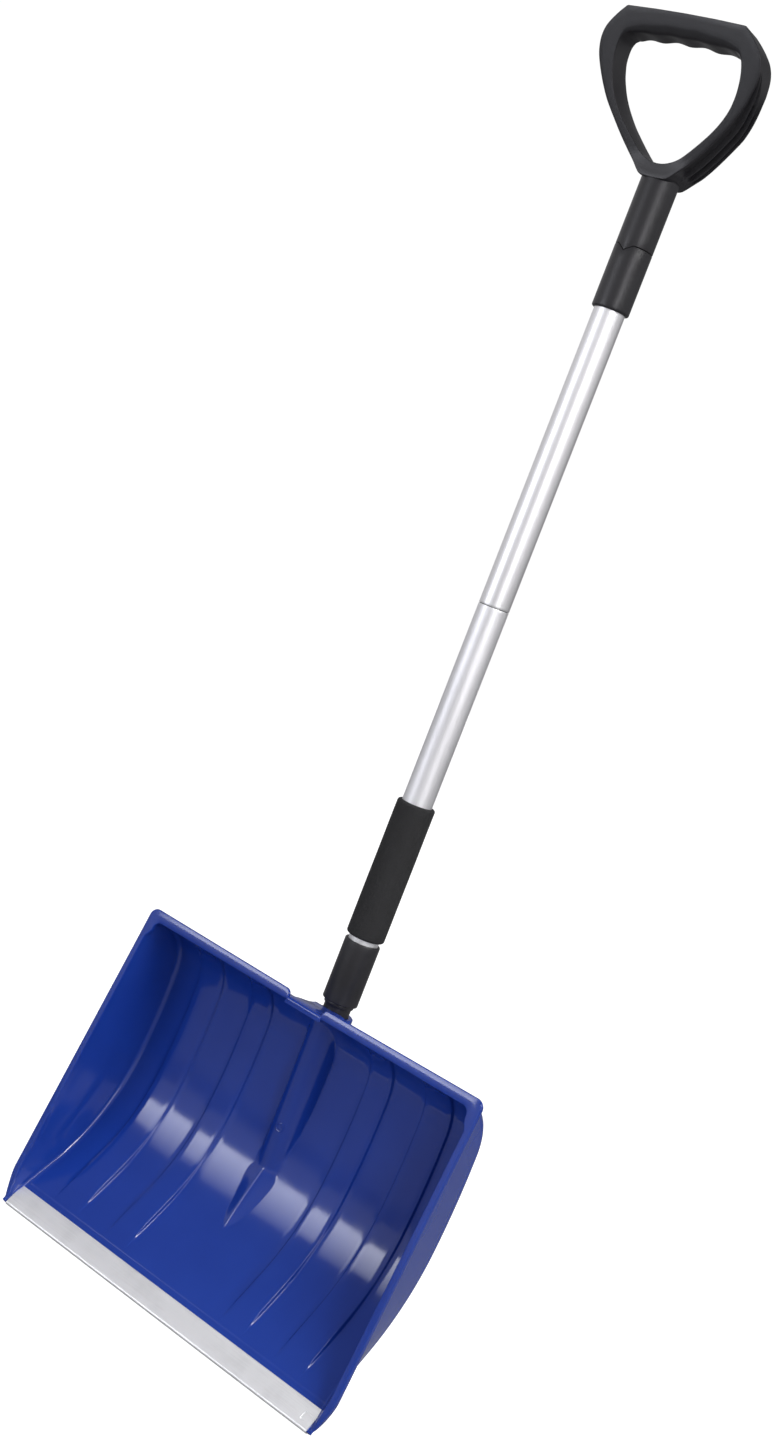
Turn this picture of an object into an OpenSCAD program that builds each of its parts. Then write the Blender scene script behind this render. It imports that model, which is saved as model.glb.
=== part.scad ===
// Snow shovel with a curled scoop, a metal wear strip, a two-piece tube shaft and a forward-leaning D grip.
// Millimetres. +Z runs up the shaft, the scoop opens towards -Y, X is the shovel's width.
// The origin is at the bottom centre of the whole shovel's box; the shaft axis stands behind it.

/* [Shaft] */
// Outer diameter of both shaft tubes
tube_d = 30; // [28:0.5:32]
// Wall thickness of the shaft tubes
tube_wall = 1.2; // [1:0.1:2]
// Height of the butt joint between the lower and the upper tube
joint_z = 715.5; // [680:0.5:750]
// Distance from the middle of the shovel's depth back to the shaft axis
axis_y = 50.65; // [40:0.05:60]

/* [Scoop] */
// Half of the panel's inside width at its back
panel_half_w = 193; // [170:1:210]
// Wall thickness of the moulded scoop
shell_t = 3; // [2.5:0.1:4]
// Tilt of the cutting edge away from the shaft, in degrees
edge_tilt = 45.5; // [40:0.5:50]
// Length of the straight run behind the cutting edge
edge_run = 85.6; // [70:0.2:95]
// Radius of the belly above the straight run
belly_r = 176; // [160:1:190]
// Tilt at which the belly eases into the back, in degrees
belly_tilt = 11; // [8:0.5:14]
// Radius of the nearly flat back
back_r = 460; // [400:10:500]
// Radius of the forward curl at the top of the scoop
curl_r = 54; // [45:1:60]
// Distance from the shaft axis forward to the cutting edge
edge_reach = 121.3; // [110:0.1:130]
// Height of the raised ribs above the panel
rib_h = 2.4; // [1.5:0.1:3]
// Height of the lip along the scoop's top edge
top_lip_h = 11; // [8:0.5:14]
// Width of the lips along the two side walls
side_lip_w = 5.5; // [4.5:0.1:7]

/* [Wear strip] */
// Length of the wear strip across the cutting edge
strip_len = 395; // [380:1:395]
// Width of the strip's upper leg
strip_top_w = 22.5; // [18:0.5:26]
// Width of the strip's folded lower leg
strip_under_w = 16; // [10:0.5:20]
// Sheet thickness of the strip
strip_t = 1; // [0.8:0.1:1.5]

/* [Sleeves] */
// Lower end of the collar above the scoop
foot_collar_z = 312; // [308:0.5:316]
// Upper end of the collar above the scoop
foot_collar_top = 374.5; // [360:0.5:376]
// Outer diameter of the collar above the scoop
foot_collar_d = 35.2; // [34:0.1:37]
// Lower end of the foam grip
foam_z = 379; // [377:0.5:390]
// Length of the foam grip
foam_len = 138; // [110:1:150]
// Outer diameter of the foam grip
foam_d = 37.8; // [35:0.1:42]
// Lower end of the collar below the D grip
top_collar_z = 1005.5; // [990:0.5:1020]
// Height of the keyed seam between the top collar and the D grip
key_seam_z = 1065; // [1050:0.5:1075]
// Outer diameter of the top collar and of the D grip's neck
top_collar_d = 36; // [34:0.1:38]

/* [D grip] */
// Height at which the D leaves its neck
grip_z = 1125.1; // [1115:0.1:1140]
// Forward lean of the D's front face, in degrees
grip_lean = 21.8; // [15:0.1:25]
// Thickness of the D from front to back at its bar
grip_depth = 26; // [22:0.5:30]
// Thickness of the D from front to back in the lower half of its arms
grip_heel = 35.5; // [30:0.5:38]

/* [Spring buttons] */
// Height of the button that locks the scoop
blade_button_z = 262; // [245:1:275]
// Height of the button that locks the two tubes
middle_button_z = 742; // [735:1:755]
// Diameter of the two buttons
button_d = 8; // [7:0.5:9]
// How far each button stands out of its hole
button_proud = 2.6; // [2:0.1:3]

/* [Hidden] */
$fn = 96;
eps = 0.01;
gap = 0.05;

edge_z = (shell_t + strip_t + gap) * sin(edge_tilt) + (strip_t + gap) * cos(edge_tilt);
tube_r = tube_d / 2;
bore_r = tube_r - tube_wall;
plug_r = bore_r - gap;
socket_r = 18.5;
socket_bore_r = 13.4;
socket_top = 299.6;
socket_floor = 186;
spigot_r = socket_bore_r - gap;
spigot_wall = 2.4;
spring_t = 0.8;
button_clear = 0.08;

// ---- Scoop profile: [y, z, tilt], with the shaft axis at y = 0 ----

function arc_step(p, r, a0, a) = [p[0] + r * (cos(a) - cos(a0)), p[1] + r * (sin(a0) - sin(a))];

run_n = 6;
belly_n = 8;
back_n = 3;
curl_n = 9;
back_rise = 8.3;
p_edge = [-edge_reach, edge_z];
p_belly = p_edge + edge_run * [sin(edge_tilt), cos(edge_tilt)];
p_back = arc_step(p_belly, belly_r, edge_tilt, belly_tilt);
p_rise = arc_step(p_back, back_r, belly_tilt, 0);
p_curl = p_rise + [0, back_rise];

function run_station(t) = concat(p_edge + t * edge_run * [sin(edge_tilt), cos(edge_tilt)], edge_tilt);
function belly_station(a) = concat(arc_step(p_belly, belly_r, edge_tilt, a), a);
function back_station(a) = concat(arc_step(p_back, back_r, belly_tilt, a), a);
function curl_station(a) = concat(arc_step(p_curl, curl_r, 0, a), a);

stations = concat(
    [for (i = [0:run_n - 1]) run_station(i / run_n)],
    [for (i = [0:belly_n - 1]) belly_station(edge_tilt + (belly_tilt - edge_tilt) * i / belly_n)],
    [for (i = [0:back_n]) back_station(belly_tilt * (1 - i / back_n))],
    [for (i = [0:curl_n]) curl_station(-90 * i / curl_n)]);

// Front face of the side walls: a straight line from the cutting edge to the top lip.
rim_foot_y = -120.1;
rim_lean = 0.2073;
function rim_y(z) = rim_foot_y + rim_lean * (z - edge_z);

// Half widths of the walls: almost upright at the back, splayed at the front, wider by the strip.
rim_half_top = 203.6;
rim_half_foot = 207;
toe_spread = 7.4;
toe_z = 54;
toe_taper = 4.5;
toe_cut_z = 36;
toe_cut_tilt = 13;
function back_half(z) = panel_half_w + toe_spread * max(0, (toe_z - z) / toe_z);
function front_half(z) = rim_half_foot - shell_t + (rim_half_top - rim_half_foot) * z / (p_curl[1] + curl_r)
    - toe_taper * max(0, (toe_cut_z - z) / toe_cut_z);

// Two raised ribs on each side of the panel, as [inner edge, outer edge].
ribs = [[64, 89], [130, 159]];
rib_flank = 2.2;
rib_foot_z = 24;
rib_fade = 12;
rib_end_tilt = -80;
function rib_lift(s) = s[2] < rib_end_tilt ? 0 : rib_h * min(1, max(0, (s[1] - rib_foot_z) / rib_fade));
function rib_side(r, lift) = [[r[0] - rib_flank, 0], [r[0], lift], [r[1], lift], [r[1] + rib_flank, 0]];
function mirrored(list) = [for (i = [len(list) - 1:-1:0]) [-list[i][0], list[i][1]]];
function panel_row(s) = let (half = concat(rib_side(ribs[0], rib_lift(s)), rib_side(ribs[1], rib_lift(s))))
    concat(mirrored(half), half);

// A point x across the panel, lifted towards the front from station s.
function panel_point(s, x, lift) = [x, s[0] - lift * cos(s[2]), s[1] + lift * sin(s[2])];
function wall_front(s, x) = [x, min(rim_y(s[1]) + 1, s[0] - 0.8), s[1]];

function scoop_ring(s) =
    let (row = panel_row(s), b = back_half(s[1]), f = front_half(s[1]), n = len(row))
    concat(
        [wall_front(s, -f), panel_point(s, -b, 0)],
        [for (q = row) panel_point(s, q[0], q[1])],
        [panel_point(s, b, 0), wall_front(s, f), wall_front(s, f + shell_t)],
        [panel_point(s, b + shell_t, -shell_t)],
        [for (i = [n - 1:-1:0]) panel_point(s, row[i][0], row[i][1] - shell_t)],
        [panel_point(s, -b - shell_t, -shell_t), wall_front(s, -f - shell_t)]);

// Joins rings of equal length into one closed solid. The end rings are fans of quads from side to side.
module loft(rings) {
    m = len(rings[0]);
    k = len(rings);
    sides = [for (i = [0:k - 2]) for (j = [0:m - 1])
        let (a = i * m + j, b = i * m + (j + 1) % m, c = a + m, d = b + m)
        each [[a, c, b], [b, c, d]]];
    foot = [for (j = [0:m / 2 - 2]) each [[j, j + 1, m - 1 - j], [j + 1, m - 2 - j, m - 1 - j]]];
    top = [for (f = foot) [for (i = [2:-1:0]) f[i] + (k - 1) * m]];
    polyhedron(points = [for (r = rings) each r], faces = concat(sides, foot, top));
}

module along_x(length) {
    rotate([90, 0, 90]) translate([0, 0, -length / 2]) linear_extrude(length) children();
}

module at_axis() {
    translate([0, axis_y, 0]) children();
}

// ---- Scoop ----

lip_depth = 6;
lip_t = 3;
lip_gap = 43;
lip_top_z = p_curl[1] + curl_r + top_lip_h;
rim_slope = atan(rim_lean);
nose_tip_z = 75.6;
nose_full_z = 132;
nose_knee_z = 137;
nose_lean = 0.48;
nose_n = 9;
boss_z = 154;

module side_lip(side) {
    lip_len = (lip_top_z - edge_z) / cos(rim_slope);
    difference() {
        translate([side * (rim_half_foot + lip_t - side_lip_w / 2), rim_foot_y, edge_z])
            rotate([-rim_slope, -side * atan((rim_half_foot - rim_half_top) / lip_len), 0])
                translate([-side_lip_w / 2, 0, 0]) cube([side_lip_w, lip_depth, lip_len]);
        translate([side * (rim_half_foot + lip_t), rim_foot_y, toe_cut_z])
            rotate([0, side * toe_cut_tilt, 0]) translate([side > 0 ? 0 : -20, -50, -80]) cube([20, 100, 80]);
    }
}

module top_lip() {
    lip_y = rim_y(p_curl[1] + curl_r) - 0.3;
    lip_half = rim_half_top + lip_t;
    difference() {
        translate([-lip_half, lip_y, p_curl[1] + curl_r]) cube([2 * lip_half, lip_t, top_lip_h]);
        translate([-lip_gap / 2, lip_y - 1, p_curl[1] + curl_r + 3]) cube([lip_gap, lip_t + 2, top_lip_h]);
    }
}

// Bridges the curl and the socket's mouth, in the gap of the top lip.
module socket_hood() {
    curl_top = p_curl[1] + curl_r;
    mid_r = curl_r + shell_t / 2;
    along_x(lip_gap - 6) polygon(concat(
        [[-curl_r, curl_top + 1], [-curl_r / 2, curl_top + 1], [-8, socket_top]],
        [for (a = [20:15:80]) [p_curl[0] - curl_r + mid_r * cos(a), p_curl[1] + mid_r * sin(a)]]));
}

// The fairing at the socket's lower end: half ellipses on the panel that narrow to a point.
function nose_half_w(z) = socket_r * pow(min(1, max(0.002, (z - nose_tip_z) / (nose_full_z - nose_tip_z))), 0.75);
function nose_crest(z) = -socket_r - nose_lean * max(0, nose_knee_z - z);
function nose_ring(s) =
    let (w = nose_half_w(s[1]), base = s[0] + shell_t / 2, crest = min(nose_crest(s[1]), s[0] - 0.2))
    [for (i = [0:13]) [-w * cos(180 * i / 13), base - (base - crest) * sin(180 * i / 13), s[1]]];

module socket_nose() {
    a0 = asin(sin(edge_tilt) - (nose_tip_z - p_belly[1]) / belly_r);
    a1 = asin(sin(edge_tilt) - (boss_z - p_belly[1]) / belly_r);
    loft([for (i = [0:nose_n]) nose_ring(belly_station(a0 + (a1 - a0) * i / nose_n))]);
}

module blade_scoop() {
    color([0.15, 0.24, 0.6]) at_axis() difference() {
        union() {
            loft([for (s = stations) scoop_ring(s)]);
            side_lip(1);
            side_lip(-1);
            top_lip();
            socket_hood();
            translate([0, 0, boss_z]) cylinder(h = socket_top - boss_z, r = socket_r);
            translate([0, 0, boss_z]) sphere(r = socket_r);
            socket_nose();
        }
        translate([0, 0, socket_floor]) cylinder(h = socket_top - socket_floor + 5, r = socket_bore_r);
        translate([0, 0, blade_button_z]) rotate([-90, 0, 0]) cylinder(h = 40, d = button_d + 0.6);
    }
}

// ---- Wear strip: a folded channel around the cutting edge ----

module wear_strip() {
    inner = shell_t + gap;
    color([0.82, 0.82, 0.84]) at_axis() translate([0, p_edge[0], p_edge[1]]) rotate([-edge_tilt, 0, 0])
        along_x(strip_len) polygon([
            [-gap - strip_t, strip_top_w], [-gap - strip_t, -gap], [-strip_t / 2, -gap - strip_t],
            [inner + strip_t, -gap - strip_t], [inner + strip_t, strip_under_w],
            [inner, strip_under_w], [inner, -gap], [-gap, -gap], [-gap, strip_top_w]]);
}

// ---- Spring buttons ----

// A button stands on +Y, with its shoulder inside the bore of radius r.
button_shoulder_d = 11;
button_shoulder_t = 1.4;
module spring_button(z, bore, outer) {
    top = outer + button_proud;
    color([0.75, 0.75, 0.77]) at_axis() translate([0, 0, z]) rotate([-90, 0, 0]) {
        translate([0, 0, bore - 3.4]) cylinder(h = top - 1 - bore + 3.4, d = button_d);
        translate([0, 0, top - 1]) cylinder(h = 1, d1 = button_d, d2 = button_d - 2);
        translate([0, 0, bore - 3.4]) cylinder(h = button_shoulder_t, d = button_shoulder_d);
    }
}

// A bent leaf: one leg under the button, a round bend, one leg along the far wall.
leaf_w = 8;
leaf_len = 46;
module leaf_spring(z, bore) {
    near = bore - 3.4 - spring_t - gap;
    far = -bore + 2.2;
    mid = (near + spring_t + far) / 2;
    outer_r = (near + spring_t - far) / 2;
    color([0.6, 0.62, 0.65]) at_axis() translate([0, 0, z]) along_x(leaf_w) union() {
        translate([near, -leaf_len]) square([spring_t, leaf_len + 5]);
        translate([far, -leaf_len]) square([spring_t, leaf_len - 8]);
        translate([mid, -leaf_len]) difference() {
            circle(r = outer_r);
            circle(r = outer_r - spring_t);
            translate([-outer_r - 1, 0]) square([2 * outer_r + 2, outer_r + 1]);
        }
    }
}

// ---- Spigot between the shaft and the scoop's socket ----

spigot_top = 392;
spigot_foot = socket_floor + 4;
spigot_flange_r = 15.6;
module blade_spigot() {
    bore = spigot_r - spigot_wall;
    color([0.16, 0.16, 0.17]) at_axis() difference() {
        union() {
            translate([0, 0, spigot_foot]) cylinder(h = foot_collar_z - 4 - spigot_foot, r = spigot_r);
            translate([0, 0, foot_collar_z - 5]) cylinder(h = 5 - gap, r = spigot_flange_r);
            translate([0, 0, foot_collar_z - 1]) cylinder(h = spigot_top - foot_collar_z + 1, r = plug_r);
        }
        translate([0, 0, spigot_foot - 1]) cylinder(h = spigot_top - spigot_foot + 2, r = bore);
        translate([0, 0, blade_button_z]) rotate([-90, 0, 0]) cylinder(h = 20, d = button_d + 2 * button_clear);
        collar_screw_hole(lower_screw_z);
    }
}

// ---- Collars and their screws, on the back of the shaft ----

screw_r = 1.75;
screw_head_r = 3.6;
lower_screw_z = 345;
upper_screw_z = 1030;
module collar_screw_hole(z) {
    translate([0, 0, z]) rotate([-90, 0, 0]) cylinder(h = 30, r = screw_r + gap);
}

module collar_head_seat(z, r) {
    translate([0, r - 1.9, z]) rotate([-90, 0, 0]) cylinder(h = 5, r = screw_head_r + 0.3);
}

module collar_screw(z, r) {
    color([0.7, 0.7, 0.72]) at_axis() translate([0, 0, z]) rotate([-90, 0, 0]) difference() {
        union() {
            translate([0, 0, bore_r - 4.5]) cylinder(h = r - 1.5 - bore_r + 4.5, r = screw_r);
            translate([0, 0, r - 1.85]) cylinder(h = 1.75, r = screw_head_r);
        }
        for (a = [0, 90]) translate([0, 0, r]) rotate([0, 0, a]) cube([4.4, 0.9, 2], center = true);
    }
}

module lower_collar_screw() {
    collar_screw(lower_screw_z, foot_collar_d / 2);
}

module upper_collar_screw() {
    collar_screw(upper_screw_z, top_collar_d / 2);
}

module lower_collar() {
    r = foot_collar_d / 2;
    height = foot_collar_top - foot_collar_z;
    color([0.16, 0.16, 0.17]) at_axis() difference() {
        translate([0, 0, foot_collar_z]) rotate_extrude() polygon([
            [plug_r + gap, 0], [r - 1.2, 0], [r - 0.5, 1], [r - 0.5, 5], [r, 6.5], [r, height - 1.2],
            [r - 1, height], [tube_r + gap, height], [tube_r + gap, 3], [plug_r + gap, 3]]);
        collar_screw_hole(lower_screw_z);
        collar_head_seat(lower_screw_z, r);
    }
}

key_half_w = 6.6;
key_depth = 5;
module key_wedge(grow) {
    translate([0, -8, key_seam_z]) rotate([90, 0, 0]) linear_extrude(20) polygon([
        [-key_half_w - grow, 1], [-key_half_w - grow, 0], [0, -key_depth - grow],
        [key_half_w + grow, 0], [key_half_w + grow, 1]]);
}

module upper_collar() {
    r = top_collar_d / 2;
    height = key_seam_z - gap - top_collar_z;
    color([0.16, 0.16, 0.17]) at_axis() difference() {
        translate([0, 0, top_collar_z]) rotate_extrude() polygon([
            [tube_r + gap, 0], [r - 1.4, 0], [r, 2.2], [r, height], [tube_r + gap, height]]);
        key_wedge(gap);
        collar_screw_hole(upper_screw_z);
        collar_head_seat(upper_screw_z, r);
    }
}

// ---- Shaft tubes ----

lower_tube_z = foot_collar_z + 3 + gap;
upper_tube_top = key_seam_z - 7;
module tube(z0, z1) {
    translate([0, 0, z0]) difference() {
        cylinder(h = z1 - z0, r = tube_r);
        translate([0, 0, -1]) cylinder(h = z1 - z0 + 2, r = bore_r);
    }
}

module lower_tube() {
    color([0.8, 0.8, 0.82]) at_axis() difference() {
        tube(lower_tube_z, joint_z - gap);
        collar_screw_hole(lower_screw_z);
    }
}

module upper_tube() {
    color([0.86, 0.86, 0.88]) at_axis() difference() {
        tube(joint_z, upper_tube_top);
        collar_screw_hole(upper_screw_z);
        translate([0, 0, middle_button_z]) rotate([-90, 0, 0]) cylinder(h = 20, d = button_d + 0.6);
    }
}

connector_wall = 2.2;
connector_reach = 62;
module tube_connector() {
    color([0.2, 0.2, 0.21]) at_axis() translate([0, 0, joint_z - connector_reach]) difference() {
        cylinder(h = 2 * connector_reach, r = plug_r);
        translate([0, 0, -1]) cylinder(h = 2 * connector_reach + 2, r = plug_r - connector_wall);
        translate([0, 0, middle_button_z - joint_z + connector_reach]) rotate([-90, 0, 0])
            cylinder(h = 20, d = button_d + 2 * button_clear);
    }
}

foam_round = 2.4;
module foam_grip() {
    r = foam_d / 2;
    steps = 4;
    color([0.13, 0.13, 0.14]) at_axis() translate([0, 0, foam_z]) rotate_extrude() polygon(concat(
        [[tube_r + gap, 0]],
        [for (i = [0:steps]) let (a = 90 * i / steps) [r - foam_round * (1 - sin(a)), foam_round * (1 - cos(a))]],
        [for (i = [steps:-1:0]) let (a = 90 * i / steps)
            [r - foam_round * (1 - sin(a)), foam_len - foam_round * (1 - cos(a))]],
        [[tube_r + gap, foam_len]]));
}

module middle_button() {
    spring_button(middle_button_z, plug_r - connector_wall, tube_r);
}

module middle_button_spring() {
    leaf_spring(middle_button_z, plug_r - connector_wall);
}

module blade_button() {
    spring_button(blade_button_z, spigot_r - spigot_wall, socket_r);
}

module blade_button_spring() {
    leaf_spring(blade_button_z, spigot_r - spigot_wall);
}

// ---- D grip: half outlines seen from the front, bottom centre to top centre, as [x, height] ----

outer_half = [[0, 2], [14, 3.2], [18.5, 6.8], [24.5, 12.6], [33, 20.5], [43, 30.8], [54, 43.5],
              [64.5, 56.5], [72, 68.8], [77.8, 80.8], [81.5, 91], [82.6, 99.5], [81.8, 107],
              [78.9, 114], [74, 120.5], [67.5, 126.8], [60.5, 132.4], [30, 133.3], [0, 133.7]];
inner_half = [[0, 15.4], [6, 16], [13, 18.2], [21, 22.6], [29.5, 29.8], [39.5, 39.4], [48.3, 48.8],
              [55.8, 59], [61, 69.2], [63.8, 79.9], [64.6, 89], [63.9, 97.5], [61.8, 104.5],
              [58, 109.5], [52, 112]];
finger_pitch = 28.5;
finger_depth = 0.9;
finger_top = 116.4;
finger_crown = 2.1;
spline_n = 3;

function crom(a, b, c, d, t) = 0.5 * (2 * b + (c - a) * t + (2 * a - 5 * b + 4 * c - d) * t * t
    + (3 * b - a - 3 * c + d) * t * t * t);
function smooth(p) = let (n = len(p)) concat(
    [for (i = [0:n - 2]) for (j = [0:spline_n - 1])
        crom(p[max(0, i - 1)], p[i], p[i + 1], p[min(n - 1, i + 2)], j / spline_n)],
    [p[n - 1]]);
function finger_z(x) = finger_top - finger_crown * pow(x / 35, 2)
    - finger_depth * cos(360 * x / finger_pitch);
function closed(half) = concat(half, [for (i = [len(half) - 1:-1:0]) if (half[i][0] > eps) [-half[i][0], half[i][1]]]);

outer_outline = closed(smooth(outer_half));
inner_outline = closed(concat(smooth(inner_half), [for (x = [46:-4:0]) [max(x, 0), finger_z(x)]]));

// Moves each outline point inwards by d.
function inset(p, d) = let (n = len(p)) [for (i = [0:n - 1])
    let (t = p[(i + 1) % n] - p[(i + n - 1) % n], u = t / norm(t)) p[i] + d * [-u[1], u[0]]];

// Side view of the D: the front face leans forward off the neck, and the arms thicken towards the neck.
neck_r = top_collar_d / 2;
face_y = -neck_r - 0.4;
face_foot = 18.2;
function front_y(h) = face_y - max(0, h - face_foot) * tan(grip_lean);
function back_y(h) = front_y(h) + lookup(h, [[face_foot, neck_r - face_y - 0.1], [30, grip_heel + 0.3],
    [56, grip_heel], [66, grip_heel - 2.2], [84, grip_depth + 2], [94, grip_depth], [134, grip_depth]]);
side_outline = concat([[face_y, 1], [front_y(140), 140]], [[front_y(140) + grip_depth, 140]],
    [for (h = [94, 84, 75, 66, 56, 43, 30, face_foot]) [back_y(h), h]], [[neck_r, 1]]);
side_profile = concat([side_outline[0], [face_y, face_foot]], [for (i = [1:len(side_outline) - 1]) side_outline[i]]);

// Two curved webs split the outside of each arm into three grooves. Each is a share of the thickness.
function web(k, h) = lookup(h, [[8, [0.5, 0.8][k]], [37, [0.5, 0.79][k]], [56, [0.46, 0.75][k]],
    [72, [0.36, 0.62][k]], [80, [0.24, 0.42][k]], [88, [0.1, 0.2][k]]]);
groove_foot = 8;
groove_depth = 4.5;
web_half = 0.025;
function share_y(f, h) = front_y(h) + f * (back_y(h) - front_y(h));
function groove_side(h) = [
    [[share_y(0.06, h), h], [share_y(web(0, h) - web_half, h), h]],
    [[share_y(web(0, h) + web_half, h), h], [share_y(web(1, h) - web_half, h), h]],
    [[share_y(web(1, h) + web_half, h), h], [share_y(0.94, h), h]]];
groove_top = [84, 85, 70];
grip_plug_len = 62;

module across_depth() {
    rotate([90, 0, 0]) translate([0, 0, -60]) linear_extrude(160) children();
}

module arm_groove(k) {
    levels = [for (h = [groove_foot, 18.2, 30, 43, 56, 64, groove_top[k]]) h];
    intersection() {
        across_depth() difference() {
            translate([-120, groove_foot]) square([240, groove_top[k] - groove_foot]);
            polygon(inset(outer_outline, groove_depth));
            translate([-21, 0]) square([42, 20]);
        }
        rotate([90, 0, 90]) translate([0, 0, -120]) linear_extrude(240) polygon(concat(
            [for (h = levels) groove_side(h)[k][0]],
            [for (i = [len(levels) - 1:-1:0]) groove_side(levels[i])[k][1]]));
    }
}

module grip_loop() {
    translate([0, 0, grip_z]) difference() {
        intersection() {
            across_depth() difference() {
                polygon(outer_outline);
                polygon(inner_outline);
            }
            rotate([90, 0, 90]) translate([0, 0, -120]) linear_extrude(240) polygon(side_profile);
        }
        for (k = [0:2]) arm_groove(k);
    }
}

module d_grip() {
    color([0.16, 0.16, 0.17]) at_axis() {
        union() {
            grip_loop();
            translate([0, 0, key_seam_z]) cylinder(h = grip_z + 6 - key_seam_z, r = neck_r);
            translate([0, 0, grip_z + 6]) cylinder(h = 6, r1 = neck_r, r2 = 12);
            difference() {
                translate([0, 0, key_seam_z - grip_plug_len]) cylinder(h = grip_plug_len + 1, r = plug_r);
                collar_screw_hole(upper_screw_z);
            }
            translate([0, 0, key_seam_z - 6]) cylinder(h = 7, r = tube_r);
            intersection() {
                key_wedge(0);
                translate([0, 0, key_seam_z - 10]) cylinder(h = 12, r = neck_r);
            }
        }
    }
}

blade_scoop();
wear_strip();
blade_spigot();
blade_button();
blade_button_spring();
lower_collar();
lower_collar_screw();
lower_tube();
foam_grip();
tube_connector();
middle_button();
middle_button_spring();
upper_tube();
upper_collar();
upper_collar_screw();
d_grip();
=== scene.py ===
"""Looks for the snow shovel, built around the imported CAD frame.

Shapes are worked out in millimetres, with y measured from the shaft axis. make_mesh turns them into
metres in the frame's own place.
"""

import math

import bmesh
import bpy
import numpy as np
from mathutils import Matrix, Vector


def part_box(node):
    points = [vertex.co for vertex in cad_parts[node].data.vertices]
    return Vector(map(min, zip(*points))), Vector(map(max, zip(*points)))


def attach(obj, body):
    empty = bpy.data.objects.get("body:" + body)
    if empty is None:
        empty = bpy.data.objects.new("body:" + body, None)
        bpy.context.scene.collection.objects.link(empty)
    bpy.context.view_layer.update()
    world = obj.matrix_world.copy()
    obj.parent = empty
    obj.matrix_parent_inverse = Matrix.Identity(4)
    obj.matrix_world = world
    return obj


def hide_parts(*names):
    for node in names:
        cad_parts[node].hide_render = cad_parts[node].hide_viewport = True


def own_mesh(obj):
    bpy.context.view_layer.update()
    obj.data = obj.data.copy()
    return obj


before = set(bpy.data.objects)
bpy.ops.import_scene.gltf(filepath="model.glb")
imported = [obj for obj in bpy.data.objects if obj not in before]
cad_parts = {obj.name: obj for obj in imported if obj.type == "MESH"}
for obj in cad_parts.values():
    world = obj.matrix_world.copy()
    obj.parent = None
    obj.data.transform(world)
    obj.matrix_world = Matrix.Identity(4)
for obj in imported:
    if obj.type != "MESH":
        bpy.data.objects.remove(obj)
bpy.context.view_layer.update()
MM = 0.001


def node_box(name):
    """A CAD node's lowest and highest corners in mm."""
    lo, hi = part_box(name)
    return np.array(lo) / MM, np.array(hi) / MM


def node_middle(name):
    lo, hi = node_box(name)
    return [float(v) for v in (lo + hi) / 2]


AXIS_Y = node_middle("upper_tube")[1]


# ---------------------------------------------------------------- camera

CAM_TURN = math.radians(30.64)
CAM_REACH = 1702.1
CAM_HEIGHT = 765.97
CAM_YAW = math.radians(-1.870)
CAM_PITCH = math.radians(-6.169)
CAM_ROLL = math.radians(21.174)
CAM_SENSOR, CAM_LENS = 36, 45.567


def turned(a, b, angle):
    """Directions a and b, both turned by the angle that takes a towards b."""
    return a * math.cos(angle) + b * math.sin(angle), b * math.cos(angle) - a * math.sin(angle)


def make_camera():
    sin, cos = math.sin(CAM_TURN), math.cos(CAM_TURN)
    ahead, right, up = Vector((-sin, cos, 0)), Vector((cos, sin, 0)), Vector((0, 0, 1))
    ahead, right = turned(ahead, right, CAM_YAW)
    ahead, up = turned(ahead, up, CAM_PITCH)
    right, up = turned(right, up, CAM_ROLL)
    data = bpy.data.cameras.new("camera")
    data.sensor_width = CAM_SENSOR
    data.lens = CAM_LENS
    data.clip_end = 50
    cam = bpy.data.objects.new("camera", data)
    place = Matrix((right, up, -ahead)).transposed().to_4x4()
    x, y = CAM_REACH * sin, AXIS_Y - CAM_REACH * cos
    place.translation = Vector((x, y, CAM_HEIGHT)) * MM
    cam.matrix_world = place
    bpy.context.scene.collection.objects.link(cam)
    bpy.context.scene.camera = cam


make_camera()


# ---------------------------------------------------------------- materials


class Nodes:
    """Short names for building a node material."""

    def __init__(self, name):
        self.mat = bpy.data.materials.new(name)
        self.mat.use_nodes = True
        self.tree = self.mat.node_tree
        self.shader = self.tree.nodes["Principled BSDF"]

    def add(self, kind, inputs=None, **settings):
        n = self.tree.nodes.new(kind)
        for k, v in settings.items():
            setattr(n, k, v)
        for k, v in (inputs or {}).items():
            self.put(n.inputs[k], v)
        return n

    def put(self, socket, value):
        if isinstance(value, bpy.types.NodeSocket):
            self.tree.links.new(value, socket)
        else:
            socket.default_value = value

    def set(self, **values):
        for k, v in values.items():
            self.put(self.shader.inputs[k.replace("_", " ")], v)

    def coords(self, scale=(1, 1, 1)):
        """Object coordinates in metres, stretched by scale."""
        at = self.add("ShaderNodeTexCoord").outputs["Object"]
        return self.add("ShaderNodeMapping", {"Vector": at, "Scale": scale}).outputs["Vector"]

    def noise(self, vector, scale, detail=3.0, rough=0.55):
        made = self.add(
            "ShaderNodeTexNoise", {"Vector": vector, "Scale": scale, "Detail": detail, "Roughness": rough}
        )
        return made.outputs["Fac"]

    def remap(self, value, lo, hi, a=0.0, b=1.0):
        """value turned from the range a to b into the range lo to hi."""
        made = self.add(
            "ShaderNodeMapRange", {"Value": value, "From Min": a, "From Max": b, "To Min": lo, "To Max": hi}
        )
        return made.outputs["Result"]

    def mix(self, fac, a, b):
        """A colour between a and b."""
        made = self.add("ShaderNodeMix", data_type="RGBA")
        self.put(made.inputs["Factor"], fac)
        self.put(made.inputs[6], (*a, 1))
        self.put(made.inputs[7], (*b, 1))
        return made.outputs[2]

    def bump(self, height, strength, distance, under=None):
        made = self.add("ShaderNodeBump", {"Height": height, "Strength": strength, "Distance": distance})
        if under is not None:
            self.put(made.inputs["Normal"], under)
        return made.outputs["Normal"]


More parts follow.
